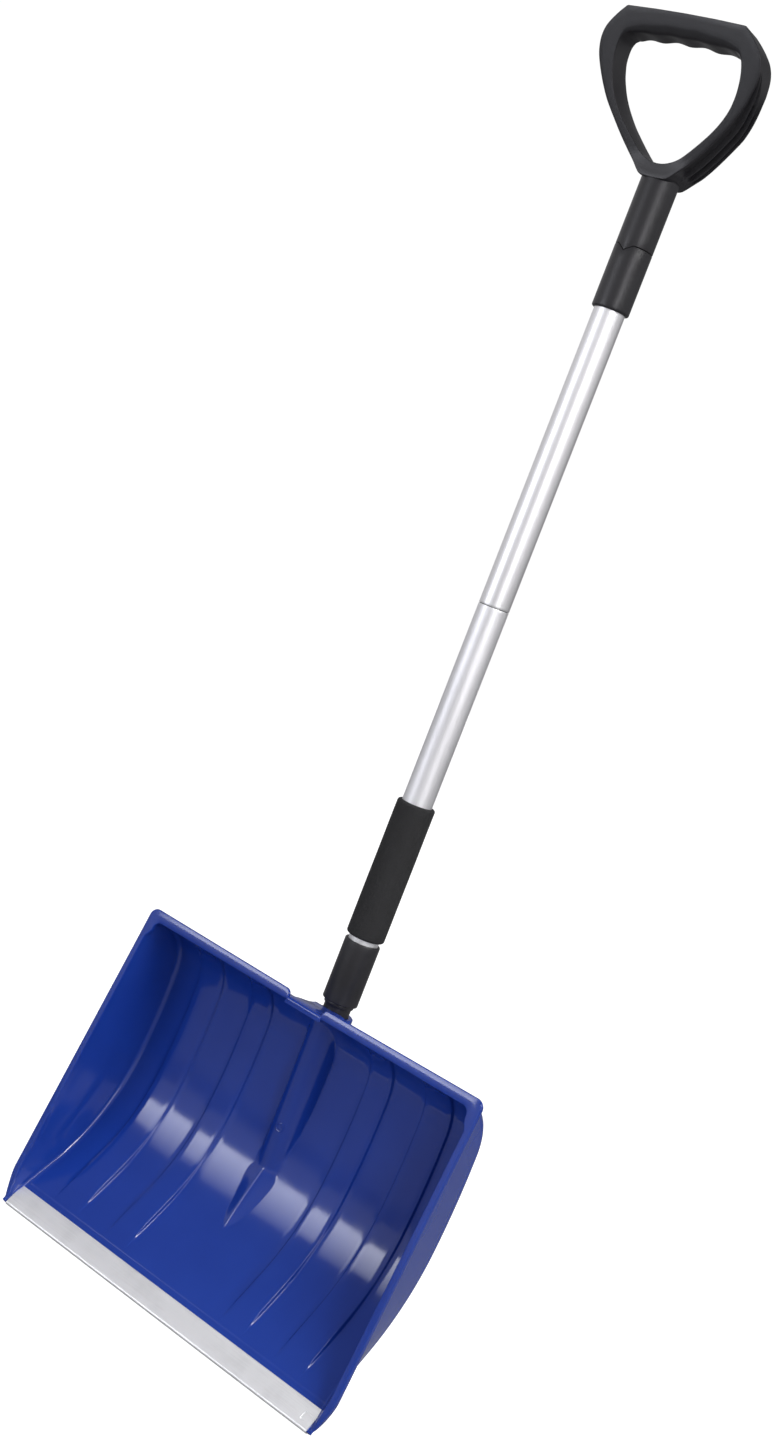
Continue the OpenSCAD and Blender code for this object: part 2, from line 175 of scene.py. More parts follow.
def scoop_plastic():
    m = Nodes("scoop_plastic")
    at = m.coords()
    cloud = m.noise(at, 9, 3)
    patchy = m.remap(cloud, 0, 1, 0.35, 0.65)
    m.set(Base_Color=m.mix(patchy, (0.0068, 0.031, 0.236), (0.0090, 0.037, 0.262)))
    flow = m.noise(m.coords((30, 4, 5)), 5, 4)
    m.set(Roughness=m.remap(flow, 0.09, 0.14, 0.3, 0.7), IOR=1.5)
    fine = m.bump(m.noise(at, 700, 2), 0.012, 0.0002)
    m.set(Normal=m.bump(m.noise(at, 22, 2), 0.04, 0.001, fine))
    return m.mat


def black_plastic():
    m = Nodes("black_plastic")
    at = m.coords()
    cloud = m.noise(at, 25, 4)
    patchy = m.remap(cloud, 0, 1, 0.35, 0.65)
    m.set(Base_Color=m.mix(patchy, (0.0115, 0.0110, 0.0130), (0.0165, 0.0160, 0.0185)))
    m.set(Roughness=m.remap(cloud, 0.34, 0.42, 0.3, 0.7), IOR=1.5)
    grain = m.add("ShaderNodeTexVoronoi", {"Vector": at, "Scale": 1500.0}).outputs["Distance"]
    m.set(Normal=m.bump(grain, 0.25, 0.00022))
    return m.mat


def foam_skin():
    m = Nodes("foam_skin")
    at = m.coords()
    cloud = m.noise(at, 60, 4)
    patchy = m.remap(cloud, 0, 1, 0.3, 0.7)
    m.set(Base_Color=m.mix(patchy, (0.0135, 0.0135, 0.0140), (0.021, 0.021, 0.022)))
    m.set(Roughness=m.remap(cloud, 0.75, 0.9, 0.3, 0.7), IOR=1.4)
    cells = m.add("ShaderNodeTexVoronoi", {"Vector": at, "Scale": 1100.0}).outputs["Distance"]
    soft = m.bump(m.noise(at, 160, 3), 0.2, 0.0008)
    m.set(Normal=m.bump(cells, 0.45, 0.0006, soft))
    return m.mat


def drawn_metal(name, tint, rough, streak, along=(60, 60, 1)):
    """Bare metal with fine lines drawn along its length."""
    m = Nodes(name)
    lines = m.noise(m.coords(along), 22, 5, 0.7)
    wide = m.noise(m.coords((8, 8, 2)), 5, 3)
    dull = tuple(c * 0.92 for c in tint)
    shade = m.add("ShaderNodeMath", {0: wide, 1: lines}, operation="ADD").outputs["Value"]
    m.set(Base_Color=m.mix(m.remap(shade, 0, 1, 0.75, 1.05), dull, tint), Metallic=1.0)
    m.set(Roughness=m.remap(lines, rough - 0.05, rough + 0.06, 0.3, 0.7))
    m.set(Normal=m.bump(lines, streak, 0.0002))
    return m.mat


MATS = {
    "scoop": scoop_plastic(),
    "black": black_plastic(),
    "foam": foam_skin(),
    "upper_tube": drawn_metal("upper_tube_metal", (0.89, 0.89, 0.895), 0.41, 0.14),
    "lower_tube": drawn_metal("lower_tube_metal", (0.88, 0.88, 0.89), 0.50, 0.20),
    "strip": drawn_metal("strip_metal", (0.94, 0.94, 0.945), 0.46, 0.22, (1, 60, 60)),
    "zinc": drawn_metal("zinc_metal", (0.62, 0.62, 0.64), 0.30, 0.10),
    "spring": drawn_metal("spring_metal", (0.48, 0.49, 0.52), 0.25, 0.10),
}


# ---------------------------------------------------------------- mesh helpers

SHARP_DEG = 35


def make_mesh(name, points, faces, sharp_deg=SHARP_DEG):
    """An object from points in mm, y from the shaft axis."""
    co = np.array(points, float).reshape(-1, 3) + np.array((0, AXIS_Y, 0))
    mesh = bpy.data.meshes.new(name)
    mesh.from_pydata((co * MM).tolist(), [], [list(map(int, f)) for f in faces])
    mesh.validate()
    obj = bpy.data.objects.new(name, mesh)
    bpy.context.scene.collection.objects.link(obj)
    finish_mesh(obj, sharp_deg)
    return obj


def finish_mesh(obj, sharp_deg):
    """Joins doubled points, turns the faces outwards and keeps the edges crisp above sharp_deg."""
    bm = bmesh.new()
    bm.from_mesh(obj.data)
    bmesh.ops.remove_doubles(bm, verts=bm.verts, dist=2e-6)
    loose = [e for e in bm.edges if not e.link_faces]
    bmesh.ops.delete(bm, geom=loose, context="EDGES")
    bmesh.ops.recalc_face_normals(bm, faces=bm.faces)
    bm.to_mesh(obj.data)
    bm.free()
    obj.data.shade_smooth()
    obj.data.set_sharp_from_angle(angle=math.radians(sharp_deg))


def grid_faces(rows, cols, wrap_cols=False, wrap_rows=False):
    """Quads over points laid out in rows and columns."""
    out = []
    for i in range(rows if wrap_rows else rows - 1):
        for j in range(cols if wrap_cols else cols - 1):
            k, m = (i + 1) % rows, (j + 1) % cols
            out.append((i * cols + j, i * cols + m, k * cols + m, k * cols + j))
    return out


def rod_mesh(name, rings, sharp_deg=SHARP_DEG):
    """An object from closed rings in a row, with a face over each end."""
    rings = np.array(rings)
    rows, cols = rings.shape[:2]
    faces = grid_faces(rows, cols, wrap_cols=True)
    faces += [tuple(range(cols)), tuple(range((rows - 1) * cols, rows * cols))]
    return make_mesh(name, rings, faces, sharp_deg)


def hoop_mesh(name, rings):
    """An object from closed rings, with the last joined to the first."""
    rings = np.array(rings)
    return make_mesh(name, rings, grid_faces(*rings.shape[:2], True, True))


def dress(obj, material, slot, *stands_for):
    """Gives a piece on the shovel's body its material and hides the CAD nodes that it replaces. The slot
    argument is not used.
    """
    obj.data.materials.clear()
    obj.data.materials.append(MATS[material])
    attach(obj, "shovel")
    if stands_for:
        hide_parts(*stands_for)
    return obj


def lathe(name, outline, turns=128):
    """Turns a closed outline of (radius, height) about the shaft axis."""
    r, z = np.array(outline, float).T
    a = np.linspace(0, 2 * np.pi, turns, endpoint=False)[:, None]
    return hoop_mesh(name, np.stack([r * np.cos(a), r * np.sin(a), np.broadcast_to(z, (turns, len(r)))], -1))


def cylinder_y(name, z, radius, y0, y1, turns=48):
    """A cylinder along y at height z, for cutting."""
    a = np.linspace(0, 2 * np.pi, turns, endpoint=False)
    ends = [np.stack([radius * np.cos(a), np.full(turns, y), z + radius * np.sin(a)], -1) for y in (y0, y1)]
    return rod_mesh(name, ends)


def corner(u, v, radius, start, steps=6):
    """A quarter round about (u, v), anticlockwise from start degrees."""
    a = np.radians(np.linspace(start, start + 90, steps))
    return [(u + radius * math.cos(t), v + radius * math.sin(t)) for t in a]


def ramp(x, a, b):
    """0 before a, 1 after b, smooth between."""
    t = np.clip((np.asarray(x, float) - a) / (b - a), 0, 1)
    return t * t * (3 - 2 * t)


def catmull(points, steps=10):
    """A smooth Catmull-Rom curve through the points."""
    p = np.array(points, float)
    p = np.vstack([2 * p[0] - p[1], p, 2 * p[-1] - p[-2]])
    out = []
    for a, b, c, d in zip(p, p[1:], p[2:], p[3:]):
        for t in np.arange(steps) / steps:
            bend, twist = 2 * a - 5 * b + 4 * c - d, 3 * b - a - 3 * c + d
            out.append(0.5 * (2 * b + (c - a) * t + bend * t**2 + twist * t**3))
    return np.array([*out, p[-2]])


def union(name, target, others, cut=(), sharp_deg=SHARP_DEG):
    """One closed mesh from target and others, less the cutters."""
    for solids, kind in ((others, "UNION"), (cut, "DIFFERENCE")):
        for other in solids:
            tool = target.modifiers.new("tool", "BOOLEAN")
            tool.operation = kind
            tool.solver = "EXACT"
            tool.object = other
    depsgraph = bpy.context.evaluated_depsgraph_get()
    mesh = bpy.data.meshes.new_from_object(target.evaluated_get(depsgraph))
    target.modifiers.clear()
    old, target.data = target.data, mesh
    mesh.name = name
    bpy.data.meshes.remove(old)
    for other in [*others, *cut]:
        bpy.data.objects.remove(other)
    target.name = name
    finish_mesh(target, sharp_deg)
    return target


# ---------------------------------------------------------------- scoop

# From the cutting edge the panel's front face runs straight for RUN, round the belly and the flatter
# back, straight up for RISE, and forward in the curl. EDGE is y and z, and CURL_Y is the curl's middle.
EDGE = (-121.3, 3.625)
EDGE_TILT, BELLY_TILT = math.radians(45.5), math.radians(11)
RUN, BELLY_R, BACK_R, RISE, CURL_R = 85.6, 176.0, 460.0, 8.3, 54.0
CURL_TOP, CURL_Y = 305.6, -56.4
SHELL = 3.0
FILLET = 5.0

# The rim's front leans back from the toe, its top corners are round, and its top stands above the curl
# as far as LIP_END beside the hood. Joined solids reach into each other by OVERLAP.
RIM_FOOT_Y, RIM_LEAN = -120.1, 0.2073
RIM_SLOPE = math.atan(RIM_LEAN)
LIP_TOP = 316.6
LIP_FALL = 1.6
LIP_END = 26.5
CORNER_Z, CORNER_R = 285.0, 8.0
CORNER_IN, CORNER_OUT = (188.0, 297.6), (198.5, LIP_TOP - CORNER_R)
OVERLAP = 0.15

SOCKET_R, SOCKET_BORE = 18.5, 13.4
SOCKET_TOP, SOCKET_FLOOR = 299.6, 186.0
HOLE_R = 4.3
RIBS = ((64, 89), (130, 159))
RIB_H, RIB_FLANK = 2.4, 2.4
BELLY_END = RUN + BELLY_R * (EDGE_TILT - BELLY_TILT)
BACK_END = BELLY_END + BACK_R * BELLY_TILT
CURL_START = BACK_END + RISE
CURL_END = CURL_START + CURL_R * math.pi / 2


def profile(s):
    """y, z and tilt of the panel's front face at each length s from the cutting edge."""
    s = np.asarray(s, float)
    run = np.clip(s, 0, RUN)
    t1 = EDGE_TILT - (np.clip(s, RUN, BELLY_END) - RUN) / BELLY_R
    t2 = BELLY_TILT - (np.clip(s, BELLY_END, BACK_END) - BELLY_END) / BACK_R
    t3 = -(np.clip(s, CURL_START, CURL_END) - CURL_START) / CURL_R
    y = EDGE[0] + run * math.sin(EDGE_TILT) + BELLY_R * (np.cos(t1) - math.cos(EDGE_TILT))
    z = EDGE[1] + run * math.cos(EDGE_TILT) + BELLY_R * (math.sin(EDGE_TILT) - np.sin(t1))
    y = y + BACK_R * (np.cos(t2) - math.cos(BELLY_TILT)) - CURL_R * (1 - np.cos(t3))
    z = z + BACK_R * (math.sin(BELLY_TILT) - np.sin(t2)) + np.clip(s - BACK_END, 0, RISE)
    z = z - CURL_R * np.sin(t3)
    tilt = np.where(s <= BELLY_END, t1, np.where(s <= BACK_END, t2, t3))
    return y, z, tilt


def rim_y(z):
    """The rim's front at height z."""
    return RIM_FOOT_Y + RIM_LEAN * (np.asarray(z, float) - EDGE[1])


def wall_front(z):
    """Half width inside the walls at their front edge."""
    z = np.asarray(z, float)
    return 204 - 3.4 * z / CURL_TOP - 4.5 * np.clip((36 - z) / 36, 0, 1)


def wall_back(z, tilt):
    """Half width inside the walls at the panel."""
    return 193 + 7.4 * np.clip((54 - z) / 54, 0, 1) + 3 * ramp(-np.degrees(tilt), 45, 90)


BULGE_R = SOCKET_R + 0.2
NOSE_TIP, NOSE_KNEE, NOSE_LEAN = 75.6, 137.0, 0.48
KEEL_Z = (80, 90, 100, 113, 120, 130, 140, 150, 165)
KEEL_SLOPE = (0.33, 0.38, 0.45, 0.41, 0.35, 0.28, 0.30, 0.45, 1.2)
KEEL_ROUND = 1.8


def bulge_half(z):
    """Half width of the strip of panel that the bulge may lift."""
    return float(np.interp(z, [NOSE_TIP, 84, 92, 104, 112, 130, 150], [3, 9, 12, 15, 18, 20, 21.5]))


def bulge_lift(x, y, z, tilt):
    """How far the socket's bulge and its keel stand out of the panel."""
    crest = BULGE_R + NOSE_LEAN * max(0.0, NOSE_KNEE - z)
    slope = float(np.interp(z, KEEL_Z, KEEL_SLOPE))
    keel = crest - slope * (np.sqrt(x * x + KEEL_ROUND ** 2) - KEEL_ROUND)
    tube = np.sqrt(np.clip(BULGE_R ** 2 - x * x, 0, None))
    proud = np.maximum(keel, tube) + y
    soft, steep = 1.2, 2.2
    height = soft * np.logaddexp(0, proud / soft * steep) / steep - 0.35 * np.exp(-np.abs(proud))
    return np.clip(height, 0, None) * float(ramp(z, NOSE_TIP - 3, NOSE_TIP + 3)) / max(math.cos(tilt), 0.5)


def rib_lift(x, s, tilt):
    """How far the raised ribs stand out of the panel, fading at the cutting edge and in the curl."""
    a = np.abs(x)
    flat = sum(ramp(a, p - RIB_FLANK, p) * ramp(a, q + RIB_FLANK, q) for p, q in RIBS)
    high = np.interp(s, [40, 90, 140, 200], [RIB_H, RIB_H + 0.7, RIB_H - 0.7, RIB_H])
    return high * flat * ramp(s, 29, 66) * ramp(-np.degrees(tilt), 80, 58)


def ledge_lift(s):
    """The low step in the panel just above the wear strip."""
    return 0.4 * ramp(s, 27.5, 30) * ramp(s, 75, 32)


def across(w, half, radius):
    """Distances from the middle to the foot of the wall's fillet, close together on every edge."""
    (p1, q1), (p2, q2) = RIBS
    flank = RIB_FLANK * np.linspace(0, 1, 7)[1:]
    parts = [w * np.linspace(0, 1, 27) ** 1.15]
    parts.append(w + (p1 - RIB_FLANK - w) * np.linspace(0, 1, 9)[1:] ** 1.5)
    parts += [p1 - RIB_FLANK + flank, np.linspace(p1, q1, 6)[1:], q1 + flank]
    parts.append(np.linspace(q1 + RIB_FLANK, p2 - RIB_FLANK, 8)[1:])
    parts += [p2 - RIB_FLANK + flank, np.linspace(p2, q2, 6)[1:], q2 + flank]
    parts.append(np.linspace(q2 + RIB_FLANK, half - radius, 7)[1:])
    return np.concatenate(parts)


def stations():
    """Lengths up the panel, close together at the cutting edge and at the ledge."""
    toe = [0, 0.5, 1.5, 3, 5, 8, 12, 17, 22, 26]
    ledge = [27.5, 28.2, 28.8, 29.4, 30, 30.8, 32, 34, 36, 38, 40, 42, 45, 50]
    belly, back = np.linspace(RUN, BELLY_END, 34), np.linspace(BELLY_END, CURL_START, 18)[1:]
    curl = np.linspace(CURL_START, CURL_END, 34)[1:]
    return np.concatenate([toe, ledge, np.arange(56, RUN, 5), belly, back, curl])


def scoop_shell():
    """The panel with its ribs, bulge and side walls, as one closed shell."""
    s = stations()
    y, z, tilt = profile(s)
    rings = []
    for sj, yj, zj, tj in zip(s, y, z, tilt):
        room = yj - float(rim_y(zj))
        radius = float(np.clip(0.5 * room, 0.3, FILLET))
        half = float(wall_back(zj, tj))
        x = across(bulge_half(zj), half, radius)
        base = rib_lift(x, sj, tj) + ledge_lift(sj)
        front = np.maximum(base, bulge_lift(x, yj, zj, tj))
        phi = np.linspace(0, np.pi / 2, 10)[1:]
        lift_in = radius * (1 - np.cos(phi)) + ledge_lift(sj) * np.cos(phi)
        x_in = half - radius + radius * np.sin(phi)
        lift_out = radius - (radius + SHELL) * np.cos(phi)
        x_out = half - radius + (radius + SHELL) * np.sin(phi)
        wall_z = zj + radius * math.sin(tj)
        wall_y = yj - radius * math.cos(tj)
        mouth = float(wall_front(wall_z))
        end = min(float(rim_y(wall_z)) + 1.2, wall_y - 0.3)
        w = np.linspace(0, 1, 9)[1:]

        def place(xs, lift):
            """Points that stand lift out of the panel."""
            return np.stack([xs, yj - lift * math.cos(tj), zj + lift * math.sin(tj)], -1)

        def wall(x0, x1):
            """Points along the side wall, from the fillet to the rim."""
            y_wall = wall_y + (end - wall_y) * w
            return np.stack([x0 + (x1 - x0) * w, y_wall, np.full(len(w), wall_z)], -1)

        inside = np.vstack([place(x, front), place(x_in, lift_in), wall(half, mouth)])
        outer_wall = wall(half + SHELL, mouth + SHELL)
        outside = np.vstack([place(x, base - SHELL), place(x_out, lift_out), outer_wall])
        flip = np.array((-1, 1, 1))
        rings.append(np.vstack([inside[::-1] * flip, inside[1:], outside[::-1], outside[1:] * flip]))
    rings = np.array(rings)
    rows, cols = rings.shape[:2]
    faces = grid_faces(rows, cols, wrap_cols=True)
    for row in (0, rows - 1):
        for j in range(cols // 2 - 1):
            faces.append(tuple(row * cols + k for k in (j, j + 1, cols - 2 - j, cols - 1 - j)))
    return make_mesh("scoop_shell", rings, faces)


def rim_out(z):
    """Half width of the rim's outer edge."""
    heights = [3.6, 5, 8, 14, 23, 30, 36, 308]
    return np.interp(z, heights, [200.5, 202.2, 203.8, 205.6, 208, 209.6, 210.1, 206.5])


def rim_edges():
    """The right half of the lip's inner and outer edge, from the toe over the corner to the hood."""
    z = np.concatenate([[3.4, 4.2, 5.2, 6.6, 8.5, 11, 14, 18, 23, 28, 32, 36], np.linspace(44, CORNER_Z, 26)])
    inner = [(float(wall_front(h)) - OVERLAP, h) for h in z]
    outer = [(float(rim_out(h)), h) for h in z]
    for t in np.linspace(0, 1, 6)[1:]:
        h, top = (CORNER_Z + (centre[1] - CORNER_Z) * t for centre in (CORNER_IN, CORNER_OUT))
        side = float(wall_front(h))
        inner.append((side - OVERLAP - (side - CORNER_IN[0] - CORNER_R) * float(ramp(t, 0, 1)), h))
        outer.append((float(rim_out(top)), top))
    for a in np.radians(np.linspace(0, 90, 11))[1:]:
        x, up = CORNER_R * math.cos(a), math.sin(a)
        inner.append((CORNER_IN[0] + x, CORNER_IN[1] + (CORNER_R - OVERLAP) * up))
        outer.append((CORNER_OUT[0] + x, CORNER_OUT[1] + CORNER_R * up))
    for t in np.linspace(0, 1, 25)[1:]:
        inner.append((CORNER_IN[0] + (LIP_END - CORNER_IN[0]) * t, CURL_TOP - OVERLAP))
        outer.append((CORNER_OUT[0] + (LIP_END - CORNER_OUT[0]) * t, LIP_TOP - LIP_FALL * t))
    end_run, end_drop = 6, 6.5
    for t in (0.2, 0.4, 0.6, 0.75, 0.88, 0.96, 1.0):
        x = LIP_END - end_run * t
        inner.append((x, CURL_TOP - OVERLAP))
        outer.append((x, LIP_TOP - LIP_FALL - end_drop * (1 - math.sqrt(1 - t * t))))
    return np.array(inner), np.array(outer), len(z)


def scoop_rim(side):
    """One half of the lip that frames the scoop's mouth, deeper on the walls than along the top."""
    inner, outer, on_wall = rim_edges()
    depth = 6.0 - 2.8 * ramp(np.arange(len(inner)), on_wall, on_wall + 14)
    depth = np.minimum(depth, 1.5 + 0.35 * (inner[:, 1] - EDGE[1]).clip(0, None))
    back = np.array((0, math.cos(RIM_SLOPE), -math.sin(RIM_SLOPE)))
    rings = []
    for (xi, zi), (xo, zo), d in zip(inner, outer, depth):
        a = np.array((xi, float(rim_y(zi)), zi))
        b = np.array((xo, float(rim_y(zo)), zo))
        out = (b - a) / np.linalg.norm(b - a)
        width = np.linalg.norm(b - a)
        r = min(1.0, 0.3 * width, 0.3 * d)
        ring = []
        for u, v, start in ((r, r, 180), (r, d - r, 90), (width - r, d - r, 0), (width - r, r, -90)):
            ring += [a + out * p + back * q for p, q in corner(u, v, r, start, 5)[::-1]]
        rings.append(ring)
    return rod_mesh("rim", np.array(rings) * np.array((side, 1, 1)))


def scoop_hood():
    """The ramp from the curl back to the socket's mouth, in the gap of the top lip."""
    rings = []
    middle_r, r = CURL_R + SHELL / 2, 2.6
    thick, fall = 3.2, 5.2
    for y in np.concatenate([[-57.6, -57.3, -56.6, -55.6, -54, -51, -47], np.linspace(-43, -12, 13)]):
        nose = 3 * (1 - math.sqrt(1 - min(1, max(0, (-54 - y) / 3.6)) ** 2))
        top = CURL_TOP + thick - fall * float(ramp(y, -52, -14)) - nose
        c = max(0.0, (y - CURL_Y) / middle_r)
        low = min(CURL_TOP - CURL_R + middle_r * math.sqrt(1 - c * c), top - thick) - 0.6
        half = 21.8 - 2.5 * float(ramp(y, -55, -14))
        ring = [(-half, low), (half, low)]
        ring += corner(half - r, top - r, r, 0) + corner(r - half, top - r, r, 90)
        rings.append([(x, y, z) for x, z in ring])
    return rod_mesh("hood", rings)


def scoop_socket():
    """The tube that takes the spigot, closed by a round foot."""
    r, lip = SOCKET_R - OVERLAP, 1.2
    outline = [(SOCKET_BORE, SOCKET_TOP - 0.8), (SOCKET_BORE + 0.8, SOCKET_TOP), (r - lip, SOCKET_TOP)]
    for t in (0.4, 0.8, 1.2, 1.57):
        outline.append((r - lip + lip * math.sin(t), SOCKET_TOP - lip + lip * math.cos(t)))
    outline += [(r, z) for z in (280, 260, 240, 220, 200, 180, 165)]
    outline += [(r * math.cos(t), 154 - r * math.sin(t)) for t in np.linspace(0, np.pi / 2, 12)]
    outline += [(0, 170), (0, SOCKET_FLOOR), (SOCKET_BORE, SOCKET_FLOOR)]
    return lathe("socket", outline, 96)


def bore_cutter():
    outline = [(0, SOCKET_FLOOR), (SOCKET_BORE, SOCKET_FLOOR), (SOCKET_BORE, 330), (0, 330)]
    return lathe("bore", outline, 96)


blade_z = node_middle("blade_button")[2]
scoop = union(
    "scoop", scoop_shell(), [scoop_rim(1), scoop_rim(-1), scoop_hood(), scoop_socket()],
    [bore_cutter(), cylinder_y("hole", blade_z, HOLE_R, 5, 30)], sharp_deg=32)
dress(scoop, "scoop", "scoop_plastic", "blade_scoop")


def gate_mark():
    """The small ring left by the mould on the bulge."""
    height, ring_r, wire_r = 180, 4.0, 0.75
    rings = []
    for a in np.linspace(0, 2 * np.pi, 40, endpoint=False):
        ring = []
        for b in np.linspace(0, 2 * np.pi, 8, endpoint=False):
            rad = ring_r + wire_r * math.cos(b)
            x, z = rad * math.cos(a), height + rad * math.sin(a)
            ring.append((x, -math.sqrt(BULGE_R ** 2 - x * x) + 0.05 - wire_r * math.sin(b), z))
        rings.append(ring)
    return hoop_mesh("gate_mark", rings)


dress(gate_mark(), "scoop", "scoop_plastic")


# ---------------------------------------------------------------- wear strip

# Across the edge, the strip is worked out in n, behind the panel's front face, and in up, along it.
STRIP_T, STRIP_GAP = 1.0, 0.05
FOLD_R = 1.9
FRONT_LEG, REAR_LEG = 22.5, 16
STRIP_FACE = -STRIP_GAP - STRIP_T


def at_edge(n, up):
    """y and z of a point n behind the panel's front face and up along it."""
    cos, sin = math.cos(EDGE_TILT), math.sin(EDGE_TILT)
    return EDGE[0] + n * cos + up * sin, EDGE[1] - n * sin + up * cos


def strip_outline():
    inner, gap, c = SHELL + STRIP_GAP, STRIP_GAP, 0.3
    back, bottom = inner + STRIP_T, FOLD_R - STRIP_T
    out = [(STRIP_FACE, FRONT_LEG - c), (STRIP_FACE, 21), (STRIP_FACE, 12), (STRIP_FACE, bottom)]
    for a in np.linspace(0.2, 1.5, 7):
        out.append((STRIP_FACE + FOLD_R - FOLD_R * math.cos(a), bottom - gap - FOLD_R * math.sin(a)))
    for a in np.linspace(0.07, 1.4, 7):
        out.append((back - FOLD_R + FOLD_R * math.sin(a), bottom - gap - FOLD_R * math.cos(a)))
    out += [(back, bottom), (back, 9), (back, REAR_LEG - c), (back - c, REAR_LEG), (inner + 0.1, REAR_LEG)]
    out += [(inner, REAR_LEG - 0.4), (inner, 8), (inner, c), (inner - c, 0), (0.25, 0), (-gap, c), (-gap, 12)]
    return out + [(-gap, FRONT_LEG - c), (-gap - c, FRONT_LEG), (STRIP_FACE + c, FRONT_LEG)]


def crimp(x0, x1, up0, up1):
    """A cutter for the shallow pressed square near the strip's right end."""
    points = []
    for n, inset in ((STRIP_FACE - 1, -0.6), (STRIP_FACE + 0.4, 0.4)):
        left, right, low, high = x0 + inset, x1 - inset, up0 + inset, up1 - inset
        for x, up in ((left, low), (right, low), (right, high), (left, high)):
            points.append((x, *at_edge(n, up)))
    faces = [(0, 1, 2, 3), (4, 5, 6, 7), (0, 1, 5, 4), (1, 2, 6, 5), (2, 3, 7, 6), (3, 0, 4, 7)]
    return make_mesh("crimp", points, faces)


def wear_strip():
    lo, hi = node_box("wear_strip")
    half = (hi[0] - lo[0]) / 2
    y, z = at_edge(*np.array(strip_outline()).T)
    xs = np.concatenate([[-half, -half + 0.3], np.linspace(-half + 2, half - 2, 60), [half - 0.3, half]])
    strip = rod_mesh("strip", [np.stack([np.full(len(y), x), y, z], -1) for x in xs], 40)
    return union("strip", strip, [], [crimp(half - 12.5, half - 4.5, 5.5, 13.5)], sharp_deg=40)


dress(wear_strip(), "strip", "strip_metal", "wear_strip")


# ---------------------------------------------------------------- shaft

# TUBE_SEAT is the radius of the holes that a tube fits in, and PLUG_R of what fits in a tube.
TUBE_WALL = 1.2
TUBE_SEAT = 15.06
PLUG_R = 13.75
middle_z = node_middle("middle_button")[2]


def tube_piece(name, node):
    """A metal tube with eased ends, and the middle button's hole if it passes there."""
    lo, hi = node_box(node)
    r, c = (hi[0] - lo[0]) / 2, 0.2
    bore = r - TUBE_WALL
    z0, z1 = lo[2] + 0.25, hi[2] - 0.25
    levels = np.linspace(z0 + 2, z1 - 2, 24)
    outline = [(r - c, z0), (r - c * 0.3, z0 + c * 0.3), (r, z0 + c)]
    outline += [(r, z) for z in levels]
    outline += [(r, z1 - c), (r - c * 0.3, z1 - c * 0.3), (r - c, z1), (bore, z1)]
    outline += [(bore, z) for z in levels[::-1]]
    tube = lathe(name, [*outline, (bore, z0)], 160)
    if z0 < middle_z < z1:
        tube = union(name, tube, [], [cylinder_y("hole", middle_z, HOLE_R, 5, 20)])
    dress(tube, node, node + "_metal", node)


tube_piece("shaft_upper", "upper_tube")
tube_piece("shaft_lower", "lower_tube")


def foam_piece():
    """The foam sleeve, with soft ends and a slight waviness."""
    lo, hi = node_box("foam_grip")
    r, z0, z1 = (hi[0] - lo[0]) / 2, lo[2], hi[2]
    k, wave_height = 2.6, 0.035
    rows = [(TUBE_SEAT, z0 + 0.6), (TUBE_SEAT + 0.7, z0)]
    rows += corner(r - k, z0 + k, k, -90, 8)
    rows += [(r, z) for z in np.linspace(z0 + k + 2, z1 - k - 2, 60)]
    rows += corner(r - k, z1 - k, k, 0, 8)
    rows += [(TUBE_SEAT + 0.7, z1), (TUBE_SEAT, z1 - 0.6)]
    foam = lathe("foam_sleeve", rows, 128)
    rng = np.random.default_rng(7)
    waves = []
    for _ in range(7):
        around, along = rng.integers(1, 6), rng.uniform(0.01, 0.09)
        waves.append((around, along, rng.uniform(0, 6.3), rng.uniform(0, 6.3)))
    for v in foam.data.vertices:
        x, y, z = v.co.x / MM, v.co.y / MM - AXIS_Y, v.co.z / MM
        rad = math.hypot(x, y)
        if rad > TUBE_SEAT + 1.5:
            a = math.atan2(y, x)
            d = sum(math.sin(n * a + p) * math.sin(z * f + q) for n, f, p, q in waves) * wave_height
            v.co.x += x / rad * d * MM
            v.co.y += y / rad * d * MM
    dress(foam, "foam", "foam", "foam_grip")


foam_piece()

# The collar's key is a V at the front, KEY_HALF each way and KEY_DEPTH down, on a radius of KEY_R.
HEAD_SEAT_R, SHANK_R = 3.9, 1.8
KEY_HALF, KEY_DEPTH, KEY_R = 8.2, 5.6, 18
KEY_SEAM = float(node_box("upper_collar")[1][2]) + 0.05


def dress_collar(collar, node, radius):
    """Cuts the screw's seat and shank hole in the rear of a collar, and dresses it."""
    z = node_middle(node + "_screw")[2]
    seat = cylinder_y("seat", z, HEAD_SEAT_R, radius - 1.9, radius + 5)
    shank = cylinder_y("shank", z, SHANK_R, 8, radius + 2, 24)
    dress(union(collar.name, collar, [], [seat, shank]), "black", "black_plastic", node)


def lower_collar():
    lo, hi = node_box("lower_collar")
    r, z0, z1 = (hi[0] - lo[0]) / 2, lo[2], hi[2]
    neck, floor, k = 13.82, z0 + 3.1, 1.3
    outline = [(neck, z0), (r - 1.2, z0), (r - 0.6, z0 + 0.15), (r - 0.2, z0 + 0.5), (r - 0.03, z0 + 1.0)]
    outline += [(r, z0 + up) for up in (1.6, 3, 7, 12)]
    outline += [(r, z) for z in np.linspace(z0 + 18, z1 - 6, 10)]
    outline += corner(r - k, z1 - k, k, 0)
    outline += [(15.3, z1), (TUBE_SEAT, z1 - 0.3), (TUBE_SEAT, floor), (neck, floor)]
    return lathe("collar_lower", outline)


dress_collar(lower_collar(), "lower_collar", 17.6)


def key_angles():
    """Angles about the shaft, with extra ones on the key."""
    front, half = -math.pi / 2, 0.5
    key = np.linspace(-half, half, 33) + front
    rest = np.linspace(front + half, front - half + 2 * math.pi, 160)[1:-1]
    return np.concatenate([key, rest])


